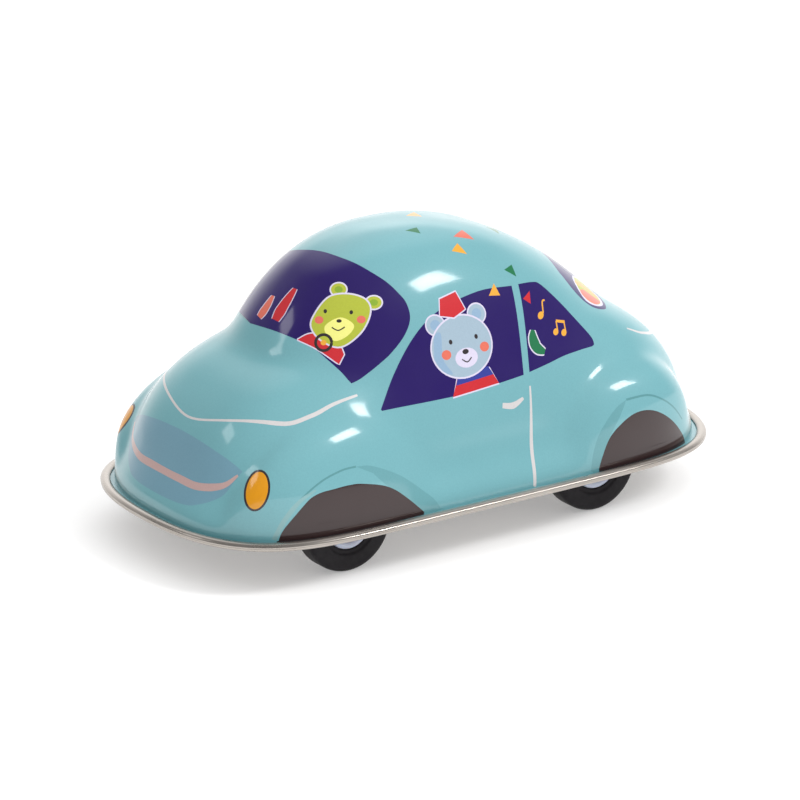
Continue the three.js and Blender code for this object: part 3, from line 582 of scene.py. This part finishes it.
def triangulate(rim, holes, marks, spacing):
    """Triangles inside a rim and outside the holes, following every mark: points and index triples."""
    points, edges = [], []
    for line in [rim, *holes, *marks]:
        first, count = len(points), len(line)
        points.extend(line.tolist())
        edges.extend((first + i, first + (i + 1) % count) for i in range(count))
    if spacing:
        tree = kdtree.KDTree(len(points))
        for i, (x, y) in enumerate(points):
            tree.insert((x, y, 0), i)
        tree.balance()
        grid = lattice(rim.min(0), rim.max(0), spacing)
        grid = grid[covers(rim, grid)]
        points.extend(spot.tolist() for spot in grid if tree.find((*spot, 0))[2] > 0.45 * spacing)
    flat, _, faces, *_ = delaunay_2d_cdt(points, edges, [], 0, 1e-5, False)
    flat = np.array([tuple(point) for point in flat])
    faces = np.array([tuple(face) for face in faces])
    centres = flat[faces].mean(1)
    keep = covers(rim * 1.0001, centres)
    for hole in holes:
        keep &= ~covers(hole, centres)
    faces = faces[keep]
    used = np.unique(faces)
    renumber = np.full(len(flat), -1)
    renumber[used] = np.arange(len(used))
    return flat[used], renumber[faces]


def find_all(flat, line):
    """The index in flat of each point of a line."""
    tree = kdtree.KDTree(len(flat))
    for i, (x, y) in enumerate(flat):
        tree.insert((x, y, 0), i)
    tree.balance()
    return [tree.find((x, y, 0))[1] for x, y in line]


def bridge(first, second):
    """Quads between two closed rings of vertex numbers."""
    count = len(first)
    return [(first[i], first[(i + 1) % count], second[(i + 1) % count], second[i]) for i in range(count)]


def make_piece(name, points, faces, materials, slots=None, sharp=35, body="chassis"):
    mesh = bpy.data.meshes.new(name)
    mesh.from_pydata(to_frame(points).tolist(), [], [tuple(int(i) for i in face) for face in faces])
    for material in materials:
        mesh.materials.append(material)
    if slots is not None:
        mesh.polygons.foreach_set("material_index", np.asarray(slots, np.int32))
    mesh.validate()
    tidy = bmesh.new()
    tidy.from_mesh(mesh)
    bmesh.ops.remove_doubles(tidy, verts=tidy.verts, dist=1e-7)
    bmesh.ops.recalc_face_normals(tidy, faces=tidy.faces)
    tidy.to_mesh(mesh)
    tidy.free()
    mesh.polygons.foreach_set("use_smooth", [True] * len(mesh.polygons))
    mesh.set_sharp_from_angle(angle=math.radians(sharp))
    piece = bpy.data.objects.new(name, mesh)
    bpy.context.scene.collection.objects.link(piece)
    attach(piece, body)
    return piece


# ---------------------------------------------------------------- materials

def linear(red, green, blue):
    shares = [channel / 255 for channel in (red, green, blue)]
    return (*[c / 12.92 if c <= 0.04045 else ((c + 0.055) / 1.055) ** 2.4 for c in shares], 1)


class Finish:
    """A node material, built one node at a time."""

    def __init__(self, name):
        self.material = bpy.data.materials.new(name)
        self.material.use_nodes = True
        self.nodes = self.material.node_tree.nodes
        self.links = self.material.node_tree.links
        self.shader = self.nodes["Principled BSDF"]
        self.place = self.nodes.new("ShaderNodeTexCoord").outputs["Object"]

    def set(self, **values):
        for name, value in values.items():
            self.shader.inputs[name.replace("_", " ")].default_value = value
        return self

    def noise(self, scale, detail=2.0, stretch=None):
        place = self.place
        if stretch:
            mapping = self.nodes.new("ShaderNodeMapping")
            mapping.inputs["Scale"].default_value = stretch
            self.links.new(place, mapping.inputs["Vector"])
            place = mapping.outputs["Vector"]
        noise = self.nodes.new("ShaderNodeTexNoise")
        noise.inputs["Scale"].default_value = scale
        noise.inputs["Detail"].default_value = detail
        self.links.new(place, noise.inputs["Vector"])
        return noise.outputs["Fac"]

    def spread(self, value, low, high):
        """A noise value's middle range, stretched to run from low to high."""
        node = self.nodes.new("ShaderNodeMapRange")
        node.inputs["From Min"].default_value = 0.3
        node.inputs["From Max"].default_value = 0.7
        node.inputs["To Min"].default_value = low
        node.inputs["To Max"].default_value = high
        self.links.new(value, node.inputs["Value"])
        return node.outputs["Result"]

    def mix(self, share, first, second, blend="MIX"):
        node = self.nodes.new("ShaderNodeMix")
        node.data_type = "RGBA"
        node.blend_type = blend
        for value, socket in ((share, node.inputs[0]), (first, node.inputs[6]), (second, node.inputs[7])):
            if isinstance(value, bpy.types.NodeSocket):
                self.links.new(value, socket)
            else:
                socket.default_value = value
        return node.outputs[2]

    def colour(self, socket):
        self.links.new(socket, self.shader.inputs["Base Color"])
        return self

    def roughness(self, value, low, high):
        self.links.new(self.spread(value, low, high), self.shader.inputs["Roughness"])
        return self

    def bump(self, *layers):
        """Each layer is (height, depth in metres)."""
        normal = None
        for height, depth in layers:
            node = self.nodes.new("ShaderNodeBump")
            node.inputs["Distance"].default_value = depth
            self.links.new(height, node.inputs["Height"])
            if normal:
                self.links.new(normal, node.inputs["Normal"])
            normal = node.outputs["Normal"]
        self.links.new(normal, self.shader.inputs["Normal"])
        return self


def scaled(colour, factor):
    return (*[min(1.0, channel * factor) for channel in colour[:3]], 1)


def printed_tin(name, rgb, variety=0.025):
    """Litho ink on tin under a gloss varnish: faint cloudiness, a fine dot grain and slightly wavy sheet."""
    finish = Finish(name)
    base = linear(*rgb)
    cloud = finish.spread(finish.noise(38, 3), 0, 1)
    clouded = finish.mix(cloud, scaled(base, 1 - variety), scaled(base, 1 + variety))
    finish.colour(finish.mix(finish.spread(finish.noise(3600, 1), 0, 0.05), clouded, scaled(base, 2)))
    finish.roughness(finish.noise(160, 2), 0.36, 0.46)
    finish.bump((finish.noise(70, 1), 0.00012), (finish.noise(1500, 2), 0.000004))
    finish.set(Metallic=0.0, Specular_IOR_Level=0.2, Coat_Weight=1.0, Coat_Roughness=0.1, Coat_IOR=1.45)
    return finish.material


def bare_tin(name="bare_tin"):
    """Bright tinplate: a fine even tooth, soft cloudy roughness and a slight warm tint."""
    finish = Finish(name)
    tooth = finish.noise(1500, 3)
    cloud = finish.noise(90, 3)
    finish.colour(finish.mix(finish.spread(cloud, 0, 1), linear(168, 161, 154), linear(184, 177, 170)))
    finish.roughness(cloud, 0.24, 0.34)
    finish.bump((tooth, 0.000005), (cloud, 0.00003))
    return finish.set(Metallic=0.9).material


def metal(name, rgb, low, high, stretch=None, wear=0.12):
    finish = Finish(name)
    base = linear(*rgb)
    cloud = finish.noise(240, 4)
    lines = finish.noise(1400, 2, stretch)
    finish.colour(finish.mix(finish.spread(cloud, 0, 1), scaled(base, 1 - wear), scaled(base, 1 + wear)))
    finish.roughness(lines, low, high)
    finish.bump((lines, 0.000008))
    return finish.set(Metallic=1.0).material


def rubber():
    finish = Finish("tyre_rubber")
    cloud = finish.noise(300, 3)
    dust = finish.spread(finish.noise(900, 4), 0, 0.05)
    base = finish.mix(finish.spread(cloud, 0, 1), linear(20, 17, 21), linear(27, 24, 28))
    finish.colour(finish.mix(dust, base, linear(96, 92, 92)))
    finish.roughness(cloud, 0.42, 0.6)
    finish.bump((finish.noise(2600, 3), 0.00001), (cloud, 0.00003))
    return finish.set(Specular_IOR_Level=0.2).material


def plastic():
    finish = Finish("hub_plastic")
    cloud = finish.noise(260, 2)
    finish.colour(finish.mix(finish.spread(cloud, 0, 1), linear(170, 177, 196), linear(188, 194, 210)))
    finish.roughness(cloud, 0.32, 0.45)
    finish.bump((finish.noise(1800, 2), 0.000006))
    return finish.set(Subsurface_Weight=0.1, Subsurface_Scale=0.001).material


INKS = {
    "body": (101, 152, 159), "purple": (28, 6, 84), "arch": (43, 26, 26), "shade": (91, 141, 147),
    "shade_line": (80, 130, 134), "pale": (116, 153, 155), "cream": (184, 180, 180), "lens": (100, 138, 154),
    "blush": (172, 144, 140), "amber": (198, 132, 4), "dark": (44, 38, 40), "red": (178, 32, 40),
    "coral": (198, 98, 80), "green": (24, 102, 64), "yellow": (208, 148, 50), "sky": (141, 160, 174),
    "sky_deep": (126, 152, 176), "navy": (44, 52, 132), "lime": (156, 164, 50), "lime_deep": (120, 150, 40),
    "lime_pale": (212, 210, 116), "pale_edge": (190, 184, 204),
}
MATERIALS = {
    "bare_tin": bare_tin(),
    "steel": metal("steel", (168, 166, 162), 0.25, 0.45, (0.1, 1, 1)),
    "spring_steel": metal("spring_steel", (70, 76, 92), 0.22, 0.4, wear=0.25),
    "brass": metal("brass", (196, 160, 92), 0.25, 0.42),
    "tyre_rubber": rubber(),
    "hub_plastic": plastic(),
    "key_steel": metal("key_steel", (206, 204, 198), 0.12, 0.24, (0.3, 1, 1), wear=0.05),
}
PRINTED = {name: printed_tin(f"print_{name}", rgb) for name, rgb in INKS.items()}

# ---------------------------------------------------------------- printed shell

SHELL_THICKNESS = 0.45
FLANGE = {"reach": 0.35, "thickness": 0.4}
PRINT_SPACING = 1.25
INK_LIMIT = 0.998
FOOT_SHARES = np.linspace(0.995, 0.9, 20)
LINING_SPACING = 3.2


def key_hole(inset=0.0):
    turn = np.arange(KEY_HOLE["steps"]) * 2 * math.pi / KEY_HOLE["steps"]
    ring = WINDING + KEY_HOLE["radius"] * np.array([np.cos(turn), np.sin(turn)]).T
    return on_side(ring, -1, inset)


def printed_shell():
    for side in (1, -1):
        print_flank(side)
    print_front()
    print_roof_and_rear()
    hole = to_print(key_hole())
    marks = []
    for _, shape in PRINT:
        spine_y = np.clip(shape[:, 1], -SPINE, SPINE)
        share = np.hypot(shape[:, 0], shape[:, 1] - spine_y) / SHEET_RADIUS
        marks.append(shape[share < INK_LIMIT])
    marks += [print_ring(share) for share in FOOT_SHARES]
    flat, faces = triangulate(RIM, [hole], marks, PRINT_SPACING)
    lining_hole = to_print(key_hole(SHELL_THICKNESS))
    flat_in, faces_in = triangulate(RIM, [lining_hole], [], LINING_SPACING)
    outer, inner = from_print(flat), from_print(flat_in, SHELL_THICKNESS)
    rim_in = find_all(flat_in, RIM)
    inner[rim_in, 2] = FLOOR - FLANGE["thickness"]
    edge = SEAM_REACH + FLANGE["reach"]
    top, foot = along(edge, FLOOR), along(edge, FLOOR - FLANGE["thickness"])
    first_in, first_top = len(outer), len(outer) + len(inner)
    first_foot = first_top + COUNT
    points = np.vstack([outer, inner, top, foot])
    rings = [find_all(flat, RIM), list(range(first_top, first_foot)),
             list(range(first_foot, first_foot + COUNT)), [first_in + i for i in rim_in]]
    quads = [face for a, b in zip(rings, rings[1:]) for face in bridge(a, b)]
    quads += bridge(find_all(flat, hole), [first_in + i for i in find_all(flat_in, lining_hole)])
    colours = list(INKS)
    slots = np.ones(len(faces), np.int32)
    centres = flat[faces].mean(1)
    for colour, shape in PRINT:
        slots[covers(shape, centres)] = 1 + colours.index(colour)
    plain = [0] * len(faces_in) + [1] * COUNT + [0] * (len(quads) - COUNT)
    all_faces = [*faces.tolist(), *(faces_in + first_in).tolist(), *quads]
    piece = make_piece("printed_shell", points, all_faces, [MATERIALS["bare_tin"], *PRINTED.values()],
                       [*slots.tolist(), *plain])
    smooth_skin(piece, outer)
    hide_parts("body_shell")


def smooth_skin(piece, outer):
    """Shades the printed faces with the exact slope of the body surface."""
    mesh = piece.data
    tree = kdtree.KDTree(len(outer))
    for i, spot in enumerate(to_frame(outer)):
        tree.insert(spot, i)
    tree.balance()
    exact = skin_normals(outer)
    normals = np.zeros((len(mesh.loops), 3))
    found = [tree.find(v.co) for v in mesh.vertices]
    for face in mesh.polygons:
        if face.material_index == 0 or abs(face.normal.z) > 0.999 and face.center.z < (FLOOR + 0.1) * MM:
            continue
        for i in face.loop_indices:
            _, nearest, gap = found[mesh.loops[i].vertex_index]
            if gap < 1e-6:
                normals[i] = exact[nearest]
    mesh.normals_split_custom_set(normals.tolist())


printed_shell()

# ---------------------------------------------------------------- base plate with its rolled seam

SEAM_Z = 9.4
SHEET = 0.3
ROLL = {"reach": 0.8, "rise": 0.6, "steps": 34, "groove": 0.13, "groove_angle": -8, "groove_spread": 9}
PAN_Z = 10.8
PAN_EDGE = 3.2
PAN_SPACING = 2.4
PRESSED_DEPTH = 0.4
WHEEL_SLOT = {"inner": 15.6, "outer": 22.5, "half_length": 9.5, "corner": 1.2}
MOTOR_OPENING = {"half_width": 8.7, "front": -6.6, "rear": 33.4, "corner": 1.5}
RIVET_SHANK = 0.86


def round_box(x0, x1, y0, y1, corner, steps=6):
    corners = [(x1 - corner, y0 + corner, -90), (x1 - corner, y1 - corner, 0), (x0 + corner, y1 - corner, 90),
               (x0 + corner, y0 + corner, 180)]
    points = []
    for x, y, start in corners:
        for i in range(steps + 1):
            turn = math.radians(start + 90 * i / steps)
            points.append((x + corner * math.cos(turn), y + corner * math.sin(turn)))
    return np.array(points)


def seam_line():
    """The sheet's middle line from the lip over the roll to the pan: reaches per station, and a height."""
    turns = np.radians(np.linspace(150, -90, ROLL["steps"]))
    roll = []
    for turn in turns:
        off_groove = (math.degrees(turn) - ROLL["groove_angle"]) / ROLL["groove_spread"]
        groove = ROLL["groove"] * math.exp(-off_groove ** 2)
        reach = (ROLL["reach"] - groove) * math.cos(turn)
        roll.append((SEAM_REACH + reach, 0 * SEAM_REACH + SEAM_Z + ROLL["rise"] * math.sin(turn)))
    low = SEAM_Z - ROLL["rise"]
    step = [(BASE_REACH - inset, 0 * BASE_REACH + z) for inset, z in (
        (0.9, low), (1.2, low + 0.08), (1.4, low + 0.3), (1.7, PAN_Z - 0.35), (1.9, PAN_Z - 0.1), (2.25, PAN_Z),
        (PAN_EDGE, PAN_Z))]
    return roll + step


def sheet_faces(line):
    """Both faces of the seam's sheet, each a list of rings."""
    reach = np.array([a for a, _ in line])
    height = np.array([b for _, b in line])
    ahead = np.gradient(np.stack([reach, height]), axis=1)
    length = np.hypot(*ahead)
    across = np.stack([-ahead[1], ahead[0]]) / length * SHEET / 2
    return [[along(reach[i] + side * across[0][i], height[i] + side * across[1][i]) for i in range(len(line))]
            for side in (1, -1)]


def pressed(flat):
    """Depth of the shallow ovals pressed into the pan for stiffness."""
    depth = np.zeros(len(flat))
    for y, half_x, half_y in ((-42.0, 14.0, 3.0), (42.0, 13.0, 3.0), (-15.5, 7.0, 4.0)):
        size = ((flat[:, 0] / half_x) ** 4 + ((flat[:, 1] - y) / half_y) ** 4) ** 0.25
        ease = np.clip((1.25 - size) / 0.35, 0, 1)
        depth += PRESSED_DEPTH * ease * ease * (3 - 2 * ease)
    return depth


def base_holes():
    slot, opening = WHEEL_SLOT, MOTOR_OPENING
    holes = [round_box(*sorted((side * slot["inner"], side * slot["outer"])), axle[0] - slot["half_length"],
                       axle[0] + slot["half_length"], slot["corner"])
             for axle in (FRONT_AXLE, REAR_AXLE) for side in (1, -1)]
    holes.append(round_box(-opening["half_width"], opening["half_width"], opening["front"], opening["rear"],
                           opening["corner"]))
    rivets = [f"motor_rivet_{i}" for i in (1, 2, 3, 4)] + [f"bracket_rivet_{i}" for i in (1, 2)]
    places = [middle(rivet)[:2] - (CAR_X, 0) for rivet in rivets]
    shanks = [oval(place, (RIVET_SHANK, RIVET_SHANK), 0, 20) for place in places]
    return [*[dense(hole, 2.0) for hole in holes], *shanks]


def base_and_seam():
    upper, lower = sheet_faces(seam_line())
    rings = [*upper, *lower[::-1]]
    last = len(upper) - 1
    pan_rim = along(BASE_REACH - PAN_EDGE, 0)[:, :2]
    holes = base_holes()
    flat, faces = triangulate(pan_rim, holes, [], PAN_SPACING)
    rim = find_all(flat, pan_rim)
    depth = pressed(flat)
    points = np.vstack(rings)
    first = len(points)
    sheets = [np.column_stack([flat, PAN_Z + side * SHEET / 2 - depth]) for side in (1, -1)]
    ends = [upper[-1][0, 2], lower[-1][0, 2]]
    numbers = [list(range(i * COUNT, (i + 1) * COUNT)) for i in range(len(rings))]
    seam = [face for i, (a, b) in enumerate(zip(numbers, numbers[1:] + numbers[:1])) if i != last
            for face in bridge(a, b)]
    top_first, bottom_first = (first, first + len(flat)) if ends[0] > ends[1] else (first + len(flat), first)
    seam += bridge(numbers[last], [top_first + i for i in rim])
    seam += bridge(numbers[last + 1], [bottom_first + i for i in rim])
    pan = [*(faces + first).tolist(), *(faces + first + len(flat)).tolist()]
    for hole in holes:
        edge = find_all(flat, hole)
        pan += bridge([first + i for i in edge], [first + len(flat) + i for i in edge])
    piece = make_piece("base_and_seam", np.vstack([points, *sheets]), seam + pan, [MATERIALS["bare_tin"]],
                       sharp=50)
    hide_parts("base_plate")


base_and_seam()

# ---------------------------------------------------------------- turned pieces

ROUND_STEPS = 72


def softened(profile, cut=0.12, steps=3):
    """A closed profile with its corners rounded."""
    points = np.array(profile, float)
    out = []
    for before, here, after in zip(np.roll(points, 1, axis=0), points, np.roll(points, -1, axis=0)):
        a, b = before - here, after - here
        start = here + a * min(cut / max(np.hypot(*a), TINY), 0.45)
        end = here + b * min(cut / max(np.hypot(*b), TINY), 0.45)
        if here[0] < TINY:
            out.append(here)
            continue
        for i in range(steps + 1):
            t = i / steps
            out.append((1 - t) ** 2 * start + 2 * t * (1 - t) * here + t * t * end)
    return np.array(out)


def turned(name, profile, centre, material, body, node, steps=ROUND_STEPS, cut=0.12, corners=3):
    """A closed profile of (radius, x) points turned about an axle through centre (y, z)."""
    profile = softened(profile, cut, corners)
    turn = np.arange(steps) * 2 * math.pi / steps
    points = np.array([(x, centre[0] + radius * math.cos(a), centre[1] + radius * math.sin(a))
                       for radius, x in profile for a in turn])
    count = len(profile)
    rings = [list(range(i * steps, (i + 1) * steps)) for i in range(count)]
    faces = [face for i in range(count) if profile[i][0] > TINY or profile[(i + 1) % count][0] > TINY
             for face in bridge(rings[i], rings[(i + 1) % count])]
    piece = make_piece(name, points, faces, [MATERIALS[material]], body=body)
    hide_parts(node)
    return piece


TYRE = [(4.48, 16.9), (5.3, 16.8), (7.7, 16.6), (8.25, 16.9), (8.5, 17.5), (8.5, 20.7), (8.25, 21.3),
        (7.7, 21.6), (5.5, 21.45), (5.2, 21.2), (4.48, 21.15)]
HUB = [(1.06, 16.7), (4.2, 16.9), (4.42, 17.2), (4.42, 21.0), (4.2, 21.35), (3.6, 21.45), (3.25, 21.3),
       (2.9, 20.8), (1.9, 20.75), (1.7, 21.3), (1.06, 21.4)]
AXLE_RADIUS = 1.0
AXLE_HALF = 22.4


def wheel_set(end, centre):
    body = f"{end}_wheels"
    for name, side in (("left", 1), ("right", -1)):
        turned(f"{end}_{name}_tyre_fine", [(r, side * x) for r, x in TYRE], centre, "tyre_rubber", body,
               f"{end}_{name}_tyre", cut=0.3)
        turned(f"{end}_{name}_hub_fine", [(r, side * x) for r, x in HUB], centre, "hub_plastic", body,
               f"{end}_{name}_hub", cut=0.15)
    rod(f"{end}_axle", AXLE_RADIUS, -AXLE_HALF, AXLE_HALF, centre, body)


def rod(node, radius, start, end, centre, body):
    profile = [(0, start), (radius, start), (radius, end), (0, end)]
    turned(f"{node}_fine", profile, centre, "steel", body, node, steps=32, cut=0.25)


wheel_set("front", FRONT_AXLE)
wheel_set("rear", REAR_AXLE)

# ---------------------------------------------------------------- carried-over nodes

for part in frame["record"]["subparts"]:
    node = frame["nodes"][part["node"]]
    if not node.hide_render:
        node.data.materials.clear()
        node.data.materials.append(MATERIALS[part["material_slot"]])

# ---------------------------------------------------------------- stage and light

PAPER_GLOW = 0.3
FLOOR_HALF = 4.0


def add_floor():
    mesh = bpy.data.meshes.new("floor")
    h = FLOOR_HALF
    mesh.from_pydata([(-h, -h, 0), (h, -h, 0), (h, h, 0), (-h, h, 0)], [], [(0, 1, 2, 3)])
    finish = Finish("floor_paper")
    cloud = finish.spread(finish.noise(8, 2), 0, 1)
    finish.colour(finish.mix(cloud, linear(216, 216, 216), linear(220, 220, 220)))
    # a faint glow of its own keeps the shadow on the paper pale
    finish.set(Roughness=0.9, Specular_IOR_Level=0.1, Emission_Color=(1, 1, 1, 1), Emission_Strength=PAPER_GLOW)
    mesh.materials.append(finish.material)
    floor = bpy.data.objects.new("floor", mesh)
    bpy.context.scene.collection.objects.link(floor)


def add_light(name, azimuth, elevation, distance, width, height, power, glossy=True):
    """A soft panel facing the car; azimuth is measured from the front towards the left side."""
    a, e = math.radians(azimuth), math.radians(elevation)
    back = np.array([math.sin(a) * math.cos(e), -math.cos(a) * math.cos(e), math.sin(e)])
    right = np.array([math.cos(a), math.sin(a), 0])
    up = np.cross(back, right)
    light = bpy.data.lights.new(name, "AREA")
    light.shape = "RECTANGLE"
    light.size, light.size_y = width, height
    light.energy = power
    panel = bpy.data.objects.new(name, light)
    bpy.context.scene.collection.objects.link(panel)
    panel.matrix_world = Matrix.Translation(back * distance) @ Matrix([right, up, back]).transposed().to_4x4()
    panel.visible_glossy = glossy


BACKDROP = (-0.82, 0.57, 0)
LEFT = (0.98, 0.17, 0.1)
CEILING = (-0.5, 0.35, 0.79)
ROOM = {"far": 0.22, "near": 1.0, "above": 1.15, "dim": 0.18, "backdrop": 1.3, "ceiling": 1.1}


def add_sky():
    """A dim room with white paper rising behind the car."""
    world = bpy.data.worlds.new("studio")
    bpy.context.scene.world = world
    world.use_nodes = True
    nodes, links = world.node_tree.nodes, world.node_tree.links
    place = nodes.new("ShaderNodeTexCoord").outputs["Generated"]

    def ramp(socket, start, end, low, high):
        node = nodes.new("ShaderNodeMapRange")
        node.interpolation_type = "SMOOTHSTEP"
        for name, value in (("From Min", start), ("From Max", end), ("To Min", low), ("To Max", high)):
            node.inputs[name].default_value = value
        links.new(socket, node.inputs["Value"])
        return node.outputs["Result"]

    def towards(direction):
        node = nodes.new("ShaderNodeVectorMath")
        node.operation = "DOT_PRODUCT"
        node.inputs[1].default_value = direction
        links.new(place, node.inputs[0])
        return node.outputs["Value"]

    def arithmetic(operation, *values):
        node = nodes.new("ShaderNodeMath")
        node.operation = operation
        for value, socket in zip(values, node.inputs):
            if isinstance(value, bpy.types.NodeSocket):
                links.new(value, socket)
            else:
                socket.default_value = value
        return node.outputs[0]

    backdrop = arithmetic("MULTIPLY", ramp(towards(BACKDROP), 0.3, 0.85, 0, ROOM["backdrop"]),
                          ramp(towards((0, 0, 1)), 0.4, 0.65, 1, 0))
    reflected = arithmetic("ADD", backdrop, ramp(towards(CEILING), 0.78, 0.95, ROOM["dim"], ROOM["ceiling"]))
    strength = nodes.new("ShaderNodeMix")
    links.new(nodes.new("ShaderNodeLightPath").outputs["Is Glossy Ray"], strength.inputs["Factor"])
    sideways = ramp(towards(LEFT), -0.4, 0.9, ROOM["far"], ROOM["near"])
    links.new(arithmetic("ADD", sideways, ramp(towards((0, 0, 1)), 0.35, 0.95, 0, ROOM["above"])),
              strength.inputs["A"])
    links.new(reflected, strength.inputs["B"])
    background = nodes["Background"]
    background.inputs["Color"].default_value = (1, 1, 1, 1)
    links.new(strength.outputs["Result"], background.inputs["Strength"])


add_floor()
add_light("key_panel", 122, 49, 3.0, 0.6, 0.6, 25, glossy=False)
add_light("key_glow", 130, 40, 3.0, 0.6, 0.42, 16)
add_light("front_strip", -33, 36, 3.0, 0.9, 0.5, 5)
add_sky()
bpy.context.scene.view_settings.view_transform = "Standard"
